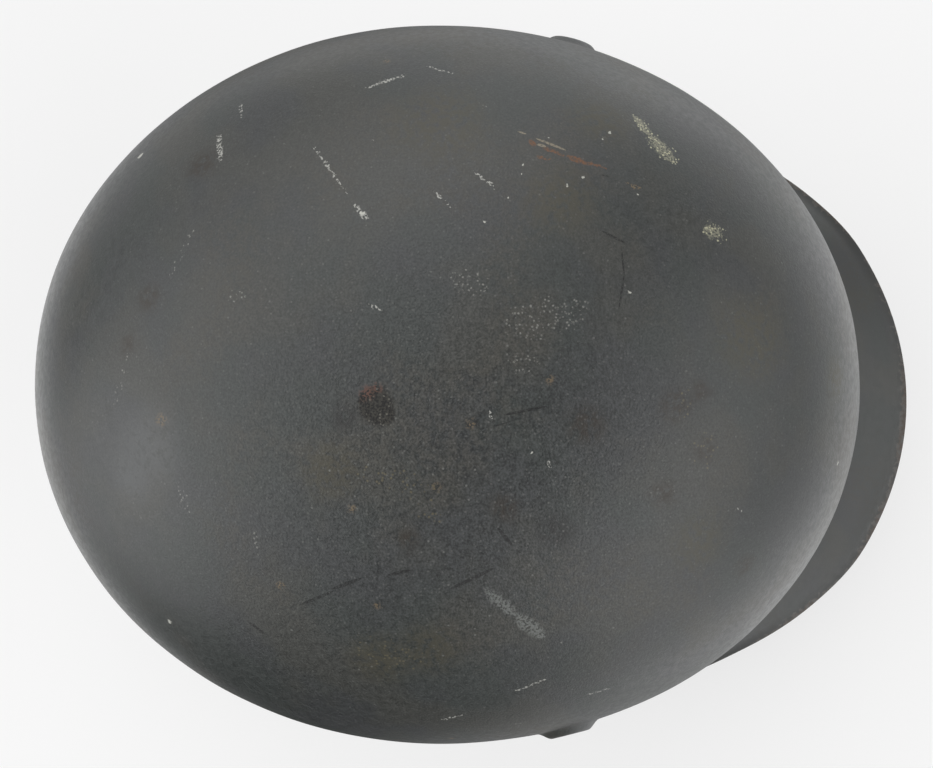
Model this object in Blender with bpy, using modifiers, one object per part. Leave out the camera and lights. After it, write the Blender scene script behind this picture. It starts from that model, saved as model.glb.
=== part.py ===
"""Steel combat helmet: a shell pressed from one sheet, held by three split rivets.

Metres, +Z up. The wearer looks along -Y, and their left is +X. The origin is the centre
of the helmet's footprint, on the table that the skirt's trimmed rim stands on.
"""

import math
from typing import NamedTuple

import bmesh
import bpy
from mathutils import Matrix, Vector

# Shell: overall height, and the dome's plan at the crease, from the crown's axis
SHELL_HEIGHT = 0.165
DOME_HALF_WIDTH = 0.098
DOME_FRONT = 0.1163
DOME_REAR = 0.1116
PLAN_EXPONENT = 2.03
CROWN_EXPONENT = 2.1
SHEET = 0.0012

# Brim: the crease where the dome turns out, and how far the edge stands out from it
CREASE_HEIGHT = 0.062
VISOR_REACH = 0.0244
VISOR_EDGE_HEIGHT = 0.046
EAR_REACH = 0.0185
NECK_REACH = 0.033

# Lip: the raw edge, turned a little outwards, and the extra sheet that the trim takes off
LIP_WIDTH = 0.0042
LIP_TURN = 17.0
TRIM_ALLOWANCE = 0.0008

# Vents: a boss pressed out of each side of the dome, and the hole through it
VENT_FORWARD = 0.036
VENT_HEIGHT = 0.1013
VENT_BASE_RADIUS = 0.0084
VENT_TOP_RADIUS = 0.0046
VENT_RISE = 0.0017
VENT_SHOULDER = 0.001
VENT_HOLE_RADIUS = 0.0032
VENT_SUNK = 0.0009

# Rivets: a domed head outside, a shank through the wall, two legs spread inside
RIVET_HEAD_RADIUS = 0.006
RIVET_HEAD_RISE = 0.0018
RIVET_SHANK_RADIUS = 0.0023
RIVET_LEG_LENGTH = 0.0095
RIVET_LEG_WIDTH = 0.0042
RIVET_LEG_THICKNESS = 0.0011
SIDE_RIVET_AZIMUTH = 57.0
SIDE_RIVET_HEIGHT = 0.074
REAR_RIVET_HEIGHT = 0.076
CLEARANCE = 0.0003

# Fineness of the loft and of the turned pieces
COLUMNS = 76
DOME_ROWS = 17
BRIM_ROWS = 8
LIP_ROWS = 2
TURNED_STEPS = 24

# The crown's axis stands off the origin by half of what the neck guard adds to the length
CROWN_Y = ((DOME_FRONT + VISOR_REACH) - (DOME_REAR + NECK_REACH)) / 2

PAINT_COLOUR = (0.062, 0.066, 0.064, 1.0)
RIVET_COLOUR = (0.055, 0.058, 0.056, 1.0)


class Section(NamedTuple):
    """The wall's shape in one upright plane through the crown's axis."""

    azimuth: float  # degrees from the front
    shoulder: float  # exponent of the dome's height, 2 for an ellipse and more for a fuller shoulder
    crease: float  # share of CREASE_HEIGHT
    visor: float  # shares of the three reaches, added up
    ear: float
    neck: float
    edge: float  # share of VISOR_EDGE_HEIGHT
    slope: float  # degrees of the brim below the horizontal, where its lip starts
    bend: float  # share of the brim's drop that the crease's bend takes


SECTIONS = (
    #       azimuth  shoulder crease visor  ear    neck   edge   slope  bend
    Section(0.0,     2.41,    1.00,  1.00,  0.00,  0.00,  1.00,  31.0,  0.36),
    Section(20.0,    2.50,    1.00,  0.89,  0.00,  0.00,  0.99,  32.0,  0.36),
    Section(30.0,    2.61,    0.99,  0.70,  0.03,  0.00,  0.96,  36.0,  0.38),
    Section(40.0,    2.74,    0.98,  0.47,  0.09,  0.00,  0.89,  45.0,  0.40),
    Section(48.0,    2.85,    0.96,  0.25,  0.29,  0.00,  0.72,  57.0,  0.42),
    Section(57.0,    2.97,    0.94,  0.09,  0.46,  0.00,  0.40,  66.0,  0.42),
    Section(66.0,    3.07,    0.92,  0.00,  0.64,  0.00,  0.11,  66.0,  0.42),
    Section(74.0,    3.14,    0.91,  0.00,  0.78,  0.00,  0.01,  63.0,  0.42),
    Section(90.0,    3.20,    0.90,  0.00,  0.97,  0.00,  0.00,  58.0,  0.42),
    Section(112.0,   3.18,    0.90,  0.00,  0.80,  0.20,  0.00,  54.0,  0.42),
    Section(138.0,   3.12,    0.91,  0.00,  0.34,  0.61,  0.00,  50.0,  0.42),
    Section(160.0,   3.07,    0.93,  0.00,  0.08,  0.90,  0.00,  47.0,  0.42),
    Section(180.0,   3.05,    0.94,  0.00,  0.00,  1.00,  0.00,  46.0,  0.42),
)


def clear_scene():
    for thing in list(bpy.data.objects):
        bpy.data.objects.remove(thing)


def collection(name):
    made = bpy.data.collections.new(name)
    bpy.context.scene.collection.children.link(made)
    return made


def painted(name, colour, roughness):
    material = bpy.data.materials.new(name)
    material.use_nodes = True
    shader = material.node_tree.nodes["Principled BSDF"]
    shader.inputs["Base Color"].default_value = colour
    shader.inputs["Roughness"].default_value = roughness
    shader.inputs["Metallic"].default_value = 0.0
    return material


def slopes(knots, values):
    """End-flat monotone slopes for a cubic through the values, so that nothing overshoots a row."""
    found = [0.0] * len(knots)
    for i in range(1, len(knots) - 1):
        before = (values[i] - values[i - 1]) / (knots[i] - knots[i - 1])
        after = (values[i + 1] - values[i]) / (knots[i + 1] - knots[i])
        if before * after > 0:
            found[i] = 2 * before * after / (before + after)
    return found


def section_at(azimuth):
    """The section at any azimuth, eased between the rows of SECTIONS. Both sides are alike."""
    turn = abs((azimuth + 180.0) % 360.0 - 180.0)
    knots = [row.azimuth for row in SECTIONS]
    i = max(k for k in range(len(knots) - 1) if knots[k] <= turn)
    span = knots[i + 1] - knots[i]
    t = (turn - knots[i]) / span
    blended = [turn]
    for column in range(1, len(Section._fields)):
        values = [row[column] for row in SECTIONS]
        tangent = slopes(knots, values)
        blended.append(
            (2 * t**3 - 3 * t**2 + 1) * values[i]
            + (t**3 - 2 * t**2 + t) * span * tangent[i]
            + (3 * t**2 - 2 * t**3) * values[i + 1]
            + (t**3 - t**2) * span * tangent[i + 1]
        )
    return Section(*blended)


def plan_radius(azimuth):
    """Distance from the crown's axis to the dome's wall at the crease."""
    ahead = math.cos(math.radians(azimuth))
    aside = math.sin(math.radians(azimuth))
    half_length = DOME_FRONT if ahead > 0 else DOME_REAR
    return (
        abs(ahead / half_length) ** PLAN_EXPONENT
        + abs(aside / DOME_HALF_WIDTH) ** PLAN_EXPONENT
    ) ** (-1 / PLAN_EXPONENT)


def placed(azimuth, radius, height):
    """A point at that azimuth and radius about the crown's axis. Azimuth 0 is the front, 90 the left."""
    turn = math.radians(azimuth)
    return Vector((radius * math.sin(turn), CROWN_Y - radius * math.cos(turn), height))


def bezier(a, b, c, d, t):
    return (1 - t) ** 3 * a + 3 * (1 - t) ** 2 * t * b + 3 * (1 - t) * t**2 * c + t**3 * d


def lip_line(start_slope, width):
    """Offsets along the lip, whose slope eases from the brim's to LIP_TURN less."""
    at, line = Vector((0.0, 0.0)), []
    for i in range(LIP_ROWS):
        slope = math.radians(start_slope - LIP_TURN * (i + 0.5) / LIP_ROWS)
        at = at + width / LIP_ROWS * Vector((math.cos(slope), -math.sin(slope)))
        line.append(at)
    return line


def evenly_spaced(line, count):
    """Count points along a line, without its first: equal steps, and the last on its end."""
    travelled = [0.0]
    for before, after in zip(line, line[1:]):
        travelled.append(travelled[-1] + (after - before).length)
    picked, k = [], 0
    for i in range(1, count):
        goal = travelled[-1] * i / count
        while travelled[k + 1] < goal:
            k += 1
        share = (goal - travelled[k]) / (travelled[k + 1] - travelled[k])
        picked.append(line[k].lerp(line[k + 1], share))
    return picked + [line[-1]]


def dome_line(azimuth):
    """The dome's outer face from the crown to the crease, in fine steps."""
    row = section_at(azimuth)
    wall = plan_radius(azimuth)
    crease = row.crease * CREASE_HEIGHT
    line = []
    for i in range(20 * DOME_ROWS + 1):
        turn = math.pi / 2 * i / (20 * DOME_ROWS)
        height = (SHELL_HEIGHT - crease) * max(math.cos(turn), 0.0) ** (2 / row.shoulder)
        line.append(Vector((wall * math.sin(turn) ** (2 / CROWN_EXPONENT), crease + height)))
    return line


def profile(azimuth):
    """The outer face from below the crown to the raw edge, as (radius, height) pairs."""
    row = section_at(azimuth)
    wall = plan_radius(azimuth)
    line = evenly_spaced(dome_line(azimuth), DOME_ROWS)
    reach = row.visor * VISOR_REACH + row.ear * EAR_REACH + row.neck * NECK_REACH
    edge = Vector((wall + reach, row.edge * VISOR_EDGE_HEIGHT))
    lip = lip_line(row.slope, LIP_WIDTH)
    top, foot = line[-1], edge - lip[-1]
    fall = math.radians(row.slope)
    downhill = Vector((math.cos(fall), -math.sin(fall)))
    bend = top - Vector((0.0, row.bend * (top.y - foot.y)))
    handle = foot - 0.4 * (foot - top).length * downhill
    for i in range(1, BRIM_ROWS + 1):
        line.append(bezier(top, bend, handle, foot, i / BRIM_ROWS))
    line += [foot + step for step in lip]
    # The skirt's sheet runs on past the table's plane, for the trim to cut
    end_fall = math.radians(row.slope - LIP_TURN)
    past = TRIM_ALLOWANCE * (1 - row.edge) / math.sin(end_fall)
    line[-1] = line[-1] + past * Vector((math.cos(end_fall), -math.sin(end_fall)))
    return line


def dome_point(azimuth, height):
    """A point of the dome's outer face, above the crease."""
    row = section_at(azimuth)
    crease = row.crease * CREASE_HEIGHT
    share = (height - crease) / (SHELL_HEIGHT - crease)
    radius = plan_radius(azimuth) * (1 - share**row.shoulder) ** (1 / CROWN_EXPONENT)
    return placed(azimuth, radius, height)


def wall_frame(azimuth, height):
    """A matrix on the dome's outer face: Z outwards, X level along the wall, Y up it."""
    at = dome_point(azimuth, height)
    level = (dome_point(azimuth + 0.5, height) - dome_point(azimuth - 0.5, height)).normalized()
    upward = (dome_point(azimuth, height + 0.0005) - dome_point(azimuth, height - 0.0005)).normalized()
    outward = level.cross(upward).normalized()
    upward = outward.cross(level)
    frame = Matrix((level, upward, outward)).transposed().to_4x4()
    frame.translation = at
    return frame


def vent_azimuth():
    """Azimuth of the dome's point that lies VENT_FORWARD ahead of the crown at VENT_HEIGHT."""
    azimuth = 70.0
    for _ in range(12):
        at = dome_point(azimuth, VENT_HEIGHT)
        radius = math.hypot(at.x, at.y - CROWN_Y)
        azimuth = math.degrees(math.acos(VENT_FORWARD / radius))
    return azimuth


def mesh_object(name, mesh, group):
    thing = bpy.data.objects.new(name, mesh)
    group.objects.link(thing)
    return thing


def turned(name, outline, group):
    """A solid turned about its own Z from an outline that runs down from the axis and back to it."""
    mesh = bpy.data.meshes.new(name)
    points = [(radius, 0.0, height) for radius, height in outline]
    mesh.from_pydata(points, [(i, i + 1) for i in range(len(points) - 1)], [])
    thing = mesh_object(name, mesh, group)
    screw = thing.modifiers.new("turn", "SCREW")
    screw.steps = screw.render_steps = TURNED_STEPS
    screw.use_merge_vertices = True
    screw.merge_threshold = 0.00001
    return thing


def as_guide(thing):
    thing.hide_render = True
    thing.display_type = "WIRE"
    return thing


def cut(target, operation, tool):
    boolean = target.modifiers.new(tool.name, "BOOLEAN")
    boolean.operation = operation
    boolean.solver = "EXACT"
    boolean.object = tool


def arc(centre, radius, start, end, count):
    """Points of an arc in an outline's plane, ends included. Angles in degrees, 0 outwards, 90 up."""
    return [
        (
            centre[0] + radius * math.cos(math.radians(start + (end - start) * i / count)),
            centre[1] + radius * math.sin(math.radians(start + (end - start) * i / count)),
        )
        for i in range(count + 1)
    ]


def pressed_sheet(group, material):
    """The shell's outer face, lofted through the profiles, and given the sheet's thickness."""
    mesh = bpy.data.meshes.new("shell")
    form = bmesh.new()
    crown = form.verts.new((0.0, CROWN_Y, SHELL_HEIGHT))
    rings = []
    for i in range(COLUMNS):
        azimuth = 360.0 * i / COLUMNS
        rings.append([form.verts.new(placed(azimuth, *point)) for point in profile(azimuth)])
    for i, column in enumerate(rings):
        beside = rings[(i + 1) % COLUMNS]
        form.faces.new((crown, column[0], beside[0]))
        for j in range(len(column) - 1):
            form.faces.new((column[j], column[j + 1], beside[j + 1], beside[j]))
    form.to_mesh(mesh)
    form.free()
    mesh.materials.append(material)
    mesh.shade_smooth()
    shell = mesh_object("shell", mesh, group)
    solidify = shell.modifiers.new("sheet", "SOLIDIFY")
    solidify.thickness = SHEET
    solidify.offset = -1.0
    solidify.use_even_offset = True
    # Flat triangles, because a loft's four-sided faces are twisted and cut badly
    shell.modifiers.new("flat_faces", "TRIANGULATE").quad_method = "SHORTEST_DIAGONAL"
    return shell


def table_trim(shell, guides):
    """Cuts the skirt off flat, so that the helmet stands on a plane rim."""
    span = 4 * (DOME_REAR + NECK_REACH)
    depth = 10 * TRIM_ALLOWANCE
    bpy.ops.mesh.primitive_cube_add(size=1.0, location=(0.0, 0.0, -depth / 2))
    block = bpy.context.object
    block.name = "table_trim"
    block.scale = (span, span, depth)
    bpy.ops.object.transform_apply(location=False, rotation=False, scale=True)
    for old in list(block.users_collection):
        old.objects.unlink(block)
    guides.objects.link(as_guide(block))
    cut(shell, "DIFFERENCE", block)


def vent(shell, side, sign, guides):
    """Presses one vent: a boss with a rounded shoulder, hollow behind, and a hole through its top."""
    frame = wall_frame(sign * vent_azimuth(), VENT_HEIGHT)
    shoulder_foot = VENT_TOP_RADIUS + VENT_SHOULDER
    boss_outline = [(0.0, VENT_RISE)]
    boss_outline += arc(
        (VENT_TOP_RADIUS, VENT_RISE - VENT_SHOULDER), VENT_SHOULDER, 90, 20, 4
    )
    boss_outline += [
        ((shoulder_foot + VENT_BASE_RADIUS) / 2, VENT_RISE * 0.10),
        (VENT_BASE_RADIUS, -VENT_SUNK),
        (0.0, -VENT_SUNK),
    ]
    boss = as_guide(turned("vent_boss_" + side, boss_outline, guides))
    hollow_radius = shoulder_foot - SHEET
    mouth_radius = (shoulder_foot + VENT_BASE_RADIUS) / 2
    above = VENT_RISE + SHEET
    recess_outline = [
        (0.0, above),
        (VENT_HOLE_RADIUS, above),
        (VENT_HOLE_RADIUS, VENT_RISE - SHEET),
        (VENT_TOP_RADIUS, VENT_RISE - SHEET),
        (hollow_radius, VENT_RISE - SHEET - VENT_SHOULDER / 3),
        (shoulder_foot - SHEET / 2, -SHEET * 0.9),
        (mouth_radius, -SHEET - VENT_SUNK),
        (0.0, -SHEET - VENT_SUNK),
    ]
    recess = as_guide(turned("vent_recess_" + side, recess_outline, guides))
    boss.matrix_world = frame
    cut(shell, "UNION", boss)
    # Turned by half a facet, so that its edges never lie on the boss's
    recess.matrix_world = frame @ Matrix.Rotation(math.pi / TURNED_STEPS, 4, "Z")
    cut(shell, "DIFFERENCE", recess)


def rivet(shell, name, azimuth, height, group, guides, material):
    """A split rivet: domed head, shank through a hole in the shell, legs spread level inside."""
    frame = wall_frame(azimuth, height)
    seat = CLEARANCE
    sphere = (RIVET_HEAD_RADIUS**2 + RIVET_HEAD_RISE**2) / (2 * RIVET_HEAD_RISE)
    half_angle = math.degrees(math.asin(RIVET_HEAD_RADIUS / sphere))
    top = arc((0.0, seat + RIVET_HEAD_RISE - sphere), sphere, 90, 90 - half_angle, 5)
    # Spread legs lie behind the wall, which falls back from the rivet's plane towards their ends
    half_span = RIVET_SHANK_RADIUS + RIVET_LEG_LENGTH
    turn = math.degrees(half_span / plan_radius(azimuth))
    ends = [frame.inverted() @ dome_point(azimuth + step, height) for step in (-turn, turn)]
    leg_top = min(end.z for end in ends) - SHEET - CLEARANCE
    foot = leg_top - RIVET_LEG_THICKNESS
    outline = [(0.0, top[0][1])] + top[1:]
    outline += [
        (RIVET_SHANK_RADIUS, seat),
        (RIVET_SHANK_RADIUS, foot),
        (0.0, foot),
    ]
    body = turned(name, outline, group)
    body.matrix_world = frame
    body.data.materials.append(material)
    body.data.shade_smooth()
    bpy.ops.mesh.primitive_cube_add(size=1.0)
    legs = bpy.context.object
    legs.name = name + "_legs"
    legs.scale = (2 * half_span, RIVET_LEG_WIDTH, RIVET_LEG_THICKNESS)
    bpy.ops.object.transform_apply(location=False, rotation=False, scale=True)
    legs.matrix_world = frame @ Matrix.Translation((0.0, 0.0, leg_top - RIVET_LEG_THICKNESS / 2))
    for old in list(legs.users_collection):
        old.objects.unlink(legs)
    guides.objects.link(as_guide(legs))
    cut(body, "UNION", legs)
    reach = 4 * SHEET
    radius = RIVET_SHANK_RADIUS + CLEARANCE
    hole_outline = [(0.0, reach), (radius, reach), (radius, -reach), (0.0, -reach)]
    hole = as_guide(turned(name + "_hole", hole_outline, guides))
    hole.matrix_world = frame
    cut(shell, "DIFFERENCE", hole)


def main():
    clear_scene()
    helmet = collection("steel_helmet")
    guides = collection("guides")
    paint = painted("shell_paint", PAINT_COLOUR, 0.55)
    rivet_paint = painted("rivet_paint", RIVET_COLOUR, 0.6)
    shell = pressed_sheet(helmet, paint)
    for side, sign in (("left", 1), ("right", -1)):
        vent(shell, side, sign, guides)
    rivet(
        shell, "rivet_left", SIDE_RIVET_AZIMUTH, SIDE_RIVET_HEIGHT, helmet, guides, rivet_paint
    )
    rivet(
        shell, "rivet_right", -SIDE_RIVET_AZIMUTH, SIDE_RIVET_HEIGHT, helmet, guides, rivet_paint
    )
    rivet(shell, "rivet_rear", 180.0, REAR_RIVET_HEIGHT, helmet, guides, rivet_paint)
    table_trim(shell, guides)


main()
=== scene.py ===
"""A worn steel helmet: one pressed shell painted slate grey, and the three split rivets
that once held its liner. Metres; the wearer looks along -Y and their left is +X."""

import math
import random

import bmesh
import bpy
import numpy as np
from mathutils import Matrix, Vector, noise
from mathutils.geometry import delaunay_2d_cdt


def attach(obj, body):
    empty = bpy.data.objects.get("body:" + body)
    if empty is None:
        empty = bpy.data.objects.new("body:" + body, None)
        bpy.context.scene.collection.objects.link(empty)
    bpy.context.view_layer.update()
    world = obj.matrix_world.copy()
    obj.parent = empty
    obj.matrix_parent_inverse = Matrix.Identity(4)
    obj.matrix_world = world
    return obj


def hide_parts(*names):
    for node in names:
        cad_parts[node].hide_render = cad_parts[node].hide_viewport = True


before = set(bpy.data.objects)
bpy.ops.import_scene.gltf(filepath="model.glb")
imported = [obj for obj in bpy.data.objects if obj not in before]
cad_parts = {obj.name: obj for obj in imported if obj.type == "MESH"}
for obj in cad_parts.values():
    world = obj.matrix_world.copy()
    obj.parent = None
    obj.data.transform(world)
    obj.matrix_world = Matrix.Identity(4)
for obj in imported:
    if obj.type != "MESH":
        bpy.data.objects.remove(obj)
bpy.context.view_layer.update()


# The shell is one blank of steel sheet, 1.2 mm thick, pressed hot in several strokes into a
# dome, a visor and a flared skirt. Its edge is left raw, trimmed and turned a little outwards.

HEIGHT = 0.165
HALF_WIDTH = 0.098
FRONT, REAR = 0.1163, 0.1116
PLAN_EXPONENT, CROWN_EXPONENT = 2.03, 2.1
SHEET = 0.0012
CREASE = 0.062
VISOR_REACH, EAR_REACH, NECK_REACH = 0.0244, 0.0185, 0.033
VISOR_EDGE = 0.046
LIP_WIDTH, LIP_TURN = 0.0042, 17.0
BRIM_PULL = 0.4
CROWN_Y = ((FRONT + VISOR_REACH) - (REAR + NECK_REACH)) / 2

# Azimuth from the front, then: shoulder exponent, crease height, shares of the three reaches,
# edge height, slope of the brim in degrees, and how much of its drop the crease's bend takes
FORM = np.array((
    (0.0, 2.41, 1.00, 1.00, 0.00, 0.00, 1.00, 31.0, 0.36),
    (20.0, 2.50, 1.00, 0.89, 0.00, 0.00, 0.99, 32.0, 0.36),
    (30.0, 2.61, 0.99, 0.70, 0.03, 0.00, 0.96, 36.0, 0.38),
    (40.0, 2.74, 0.98, 0.47, 0.09, 0.00, 0.89, 45.0, 0.40),
    (48.0, 2.85, 0.96, 0.25, 0.29, 0.00, 0.72, 57.0, 0.42),
    (57.0, 2.97, 0.94, 0.09, 0.46, 0.00, 0.40, 66.0, 0.42),
    (66.0, 3.07, 0.92, 0.00, 0.64, 0.00, 0.11, 66.0, 0.42),
    (74.0, 3.14, 0.91, 0.00, 0.78, 0.00, 0.01, 63.0, 0.42),
    (90.0, 3.20, 0.90, 0.00, 0.97, 0.00, 0.00, 58.0, 0.42),
    (112.0, 3.18, 0.90, 0.00, 0.80, 0.20, 0.00, 54.0, 0.42),
    (138.0, 3.12, 0.91, 0.00, 0.34, 0.61, 0.00, 50.0, 0.42),
    (160.0, 3.07, 0.93, 0.00, 0.08, 0.90, 0.00, 47.0, 0.42),
    (180.0, 3.05, 0.94, 0.00, 0.00, 1.00, 0.00, 46.0, 0.42),
))


def form_at(azimuth):
    """The rows of FORM eased to any azimuths, both sides alike, without their first column."""
    turn = np.abs((np.ravel(azimuth) + 180.0) % 360.0 - 180.0)
    knots, values = FORM[:, 0], FORM[:, 1:]
    gap = np.diff(knots)
    climb = np.diff(values, axis=0) / gap[:, None]
    before, after = climb[:-1], climb[1:]
    same = before * after > 0
    inner = np.zeros_like(before)
    inner[same] = 2 * before[same] * after[same] / (before + after)[same]
    tangent = np.zeros_like(values)
    tangent[1:-1] = inner
    i = np.clip(np.searchsorted(knots, turn, side="right") - 1, 0, len(gap) - 1)
    g = gap[i][:, None]
    t = (turn - knots[i])[:, None] / g
    return (
        (2 * t**3 - 3 * t**2 + 1) * values[i]
        + (t**3 - 2 * t**2 + t) * g * tangent[i]
        + (3 * t**2 - 2 * t**3) * values[i + 1]
        + (t**3 - t**2) * g * tangent[i + 1]
    )


def wall_radius(azimuth):
    ahead, aside = np.cos(np.radians(azimuth)), np.sin(np.radians(azimuth))
    half_length = np.where(ahead > 0, FRONT, REAR)
    return (
        np.abs(ahead / half_length) ** PLAN_EXPONENT
        + np.abs(aside / HALF_WIDTH) ** PLAN_EXPONENT
    ) ** (-1 / PLAN_EXPONENT)


def about_crown(azimuth, radius, height):
    turn = np.radians(azimuth)
    return np.stack([radius * np.sin(turn), CROWN_Y - radius * np.cos(turn), height], -1)


def dome_by_height(azimuth, height):
    form = form_at(azimuth)
    crease = form[:, 1] * CREASE
    share = np.clip((height - crease) / (HEIGHT - crease), 0, 1)
    reach = (1 - share ** form[:, 0]) ** (1 / CROWN_EXPONENT)
    return about_crown(azimuth, wall_radius(azimuth) * reach, height)


def dome_by_radius(azimuth, radius):
    form = form_at(azimuth)
    crease = form[:, 1] * CREASE
    share = (1 - (radius / wall_radius(azimuth)) ** CROWN_EXPONENT) ** (1 / form[:, 0])
    return about_crown(azimuth, radius, crease + (HEIGHT - crease) * share)


COLUMNS = 288
DOME_ROWS, BRIM_ROWS, LIP_ROWS = 62, 24, 6
PROFILE_STEPS = 900
CAP_RADIUS, CAP_STEP, CAP_SPACING = 0.022, 0.0011, 0.00115
CAP_TWIST = 40000
EDGE_ROUND, EDGE_FULLNESS = 0.0004, 0.55


def sheet_profile(azimuth):
    """Radii and heights of the outer face down one azimuth, from the cap's ring to the edge."""
    shoulder, crease, visor, ear, neck, edge, slope, bend = form_at(azimuth)[0]
    wall = float(wall_radius(azimuth))
    crease = crease * CREASE
    u = np.linspace(0, math.pi / 2, PROFILE_STEPS)
    dome = np.stack([
        wall * np.sin(u) ** (2 / CROWN_EXPONENT),
        crease + (HEIGHT - crease) * np.clip(np.cos(u), 0, 1) ** (2 / shoulder),
    ], -1)
    run = np.concatenate([[0], np.cumsum(np.linalg.norm(np.diff(dome, axis=0), axis=1))])
    start = np.interp(CAP_RADIUS, dome[:, 0], run)
    steps = np.linspace(start, run[-1], DOME_ROWS)
    rows = [np.stack([np.interp(steps, run, dome[:, k]) for k in (0, 1)], -1)]
    # The lip turns evenly from the brim's slope
    fall = np.radians(slope - LIP_TURN * (np.arange(LIP_ROWS) + 0.5) / LIP_ROWS)
    stride = (LIP_WIDTH - EDGE_ROUND) / LIP_ROWS
    lip = np.cumsum(stride * np.stack([np.cos(fall), -np.sin(fall)], -1), axis=0)
    last = math.radians(slope - LIP_TURN)
    out = np.array([math.cos(last), -math.sin(last)])
    reach = visor * VISOR_REACH + ear * EAR_REACH + neck * NECK_REACH
    # A skirt's sheet ends a sheet's thickness higher, so that its inner corner meets the ground
    end = np.array([wall + reach, edge * VISOR_EDGE + (1 - edge) * SHEET * math.cos(last)])
    foot = end - EDGE_ROUND * out - lip[-1]
    top = dome[-1]
    downhill = np.array([math.cos(math.radians(slope)), -math.sin(math.radians(slope))])
    a, b, c, d = (
        top,
        top - np.array([0, bend * (top[1] - foot[1])]),
        foot - BRIM_PULL * np.linalg.norm(foot - top) * downhill,
        foot,
    )
    t = np.linspace(0, 1, BRIM_ROWS + 1)[1:, None]
    rows.append((1 - t) ** 3 * a + 3 * (1 - t) ** 2 * t * b + 3 * (1 - t) * t**2 * c + t**3 * d)
    rows.append(foot + lip)
    return np.concatenate(rows)


azimuths = np.arange(COLUMNS) * 360.0 / COLUMNS
lines = np.stack([sheet_profile(a) for a in azimuths], axis=1)
ROWS = lines.shape[0]
base = about_crown(np.broadcast_to(azimuths, (ROWS, COLUMNS)), lines[..., 0], lines[..., 1])
down = np.gradient(base, axis=0)
level = np.roll(base, -1, axis=1) - np.roll(base, 1, axis=1)
normal = np.cross(down, level)
normal /= np.linalg.norm(normal, axis=-1, keepdims=True)
steps_down = np.linalg.norm(np.diff(base, axis=0), axis=-1)
from_edge = np.concatenate([
    np.cumsum(steps_down[::-1], axis=0)[::-1], np.zeros((1, COLUMNS))
])

# Points of the outer face: place, outward normal, lift by a punch, and the distance from the
# edge, which is measured down the grid's columns and taken as far elsewhere
FAR = 0.1
points = [base.reshape(-1, 3)]
normals = [normal.reshape(-1, 3)]
lifts = [np.zeros((ROWS * COLUMNS, 3))]
edge_runs = [from_edge.ravel()]
faces = []
taken = np.zeros((ROWS - 1, COLUMNS), bool)


def grid_index(row, column):
    return row * COLUMNS + column % COLUMNS


def add_points(place, outward, lift, run):
    start = sum(len(p) for p in points)
    points.append(place)
    normals.append(outward)
    lifts.append(lift)
    edge_runs.append(run)
    return start + np.arange(len(place))


def inside_loop(spot, loop):
    hit = False
    for (x0, y0), (x1, y1) in zip(loop, np.roll(loop, -1, axis=0)):
        if (y0 > spot[1]) != (y1 > spot[1]):
            if spot[0] < (x1 - x0) * (spot[1] - y0) / (y1 - y0) + x0:
                hit = not hit
    return hit


def join_flat(flat, names, loop_size, hole):
    """Triangles between points laid flat: a closed loop first, and a hole's ring named in hole."""
    edges = [(i, (i + 1) % loop_size) for i in range(loop_size)]
    made = delaunay_2d_cdt([Vector(p) for p in flat], edges, [], 0, 1e-7)
    ring = set(hole)
    loop = flat[:loop_size]
    for face in made[2]:
        corners = [made[3][v][0] for v in face]
        if all(c in ring for c in corners):
            continue
        if all(c < loop_size for c in corners):
            if not inside_loop(flat[corners].mean(0), loop):
                continue
        a, b, c = flat[corners]
        ahead, aside = b - a, c - a
        if ahead[0] * aside[1] - ahead[1] * aside[0] < 0:
            corners.reverse()
        faces.append([names[c] for c in corners])


# The crown's cap, in rings down to the middle, each turned a little against the next
cap_flat = [base[0][:, :2]]
cap_names = list(range(COLUMNS))
for radius in CAP_STEP * np.arange(round(CAP_RADIUS / CAP_STEP) - 1, -1, -1):
    count = max(1, round(2 * math.pi * radius / CAP_SPACING))
    turn = np.arange(count) * 360.0 / count + radius * CAP_TWIST
    spot = dome_by_radius(turn, np.full(count, radius))
    ahead = dome_by_radius(turn, np.full(count, radius + 0.0004)) - spot
    around = about_crown(turn + 90, np.full(count, 1.0), np.zeros(count)) - (0, CROWN_Y, 0)
    outward = np.cross(ahead, around) if count > 1 else np.array([[0.0, 0.0, 1.0]])
    outward /= np.linalg.norm(outward, axis=1, keepdims=True)
    cap_names += list(add_points(spot, outward, np.zeros_like(spot), np.full(count, FAR)))
    cap_flat.append(spot[:, :2])
join_flat(np.concatenate(cap_flat) * 1000, cap_names, COLUMNS, ())


# Each side of the dome has a vent, a boss punched out of the sheet with a round hole through
# its flat top. Three more holes, plain ones, take the liner's rivets.

VENT_FORWARD, VENT_HEIGHT = 0.036, 0.1013
VENT_RISE, VENT_TOP, VENT_BASE = 0.0017, 0.0047, 0.0082
SIDE_RIVET, SIDE_RIVET_HEIGHT = 57.0, 0.074
REAR_RIVET_HEIGHT = 0.076
ROUGH_RADIUS = 0.1
OPENING_MARGIN, POINT_MARGIN = 0.0022, 0.0009
HOLE_ROUND = 0.00012


def wall_frame(azimuth, height):
    """A matrix on the dome's outer face: X level along the wall, Y up it, Z outwards."""
    at, beside, behind, above, below = (
        Vector(dome_by_height(np.array([azimuth + a]), np.array([height + h]))[0])
        for a, h in ((0, 0), (0.5, 0), (-0.5, 0), (0, 0.0005), (0, -0.0005))
    )
    along = (beside - behind).normalized()
    outward = along.cross((above - below).normalized()).normalized()
    made = Matrix((along, outward.cross(along), outward)).transposed().to_4x4()
    made.translation = at
    return made


def vent_azimuth():
    azimuth = 70.0
    for _ in range(12):
        at = dome_by_height(np.array([azimuth]), np.array([VENT_HEIGHT]))[0]
        azimuth = math.degrees(math.acos(VENT_FORWARD / math.hypot(at[0], at[1] - CROWN_Y)))
    return azimuth


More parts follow.
